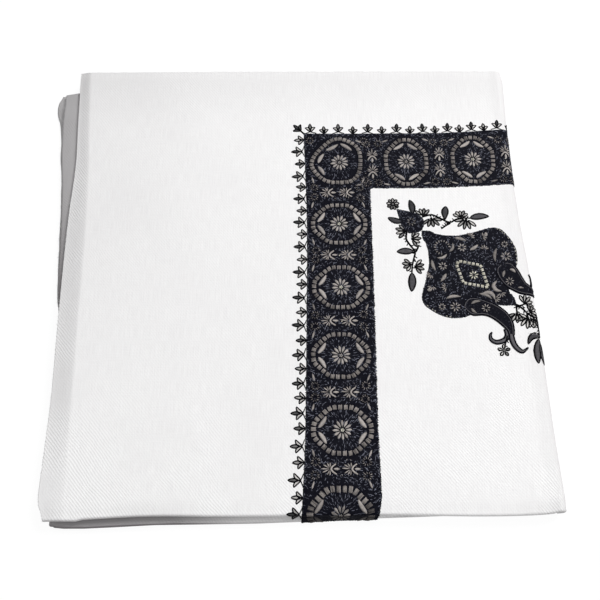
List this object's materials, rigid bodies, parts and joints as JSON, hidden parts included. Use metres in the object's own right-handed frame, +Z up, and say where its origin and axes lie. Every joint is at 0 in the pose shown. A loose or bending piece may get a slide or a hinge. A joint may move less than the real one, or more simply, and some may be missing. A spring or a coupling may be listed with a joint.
{
  "type": "folded embroidered shawl",
  "caption": "White wool shawl folded into a flat square packet, with a navy embroidered band round its corner and a paisley motif inside it.",
  "frame": {"origin": "middle of the packet's footprint, on the floor it rests on", "axes": "+X along the shawl's length, from its raw ends to the outer fold; +Y from the doubled front fold to the selvedges; +Z up"},
  "size_m": [0.5437, 0.5216, 0.0197],
  "materials": {
    "white_wool": "matt fine twill",
    "inner_wool": "matt fine twill in shade",
    "navy_stitch": "close stitches with a slight sheen",
    "grey_thread": "stranded thread with a slight sheen"
  },
  "bodies": {
    "root": {"corner_sprig": "navy_stitch", "end_band": "navy_stitch", "end_sprigs": "navy_stitch", "folded_layers": "inner_wool", "inner_end_lower": "inner_wool", "inner_end_upper": "white_wool", "medallion_1_ring": "grey_thread", "medallion_1_rosette": "grey_thread", "medallion_2_ring": "grey_thread", "medallion_2_rosette": "grey_thread", "medallion_3_ring": "grey_thread", "medallion_3_rosette": "grey_thread", "medallion_4_ring": "grey_thread", "medallion_4_rosette": "grey_thread", "medallion_5_ring": "grey_thread", "medallion_5_rosette": "grey_thread", "medallion_6_ring": "grey_thread", "medallion_6_rosette": "grey_thread", "medallion_7_ring": "grey_thread", "medallion_7_rosette": "grey_thread", "outer_ply": "white_wool", "paisley_body": "navy_stitch", "paisley_bud": "navy_stitch", "paisley_eye_flower": "grey_thread", "paisley_eye_ring": "grey_thread", "paisley_tail": "navy_stitch", "side_band": "navy_stitch", "side_sprigs": "navy_stitch", "spray_flower_down": "navy_stitch", "spray_flower_far_down": "navy_stitch", "spray_flower_far_right": "navy_stitch", "spray_flower_low": "navy_stitch", "spray_flower_near_down": "navy_stitch", "spray_flower_near_right": "navy_stitch", "spray_flower_right": "navy_stitch", "spray_flower_tip": "navy_stitch", "spray_leaf_bud_side": "grey_thread", "spray_leaf_bud_up": "grey_thread", "spray_leaf_down_end": "grey_thread", "spray_leaf_down_side": "grey_thread", "spray_leaf_right_end": "grey_thread", "spray_leaf_right_up": "grey_thread"}
  },
  "joints": []
}
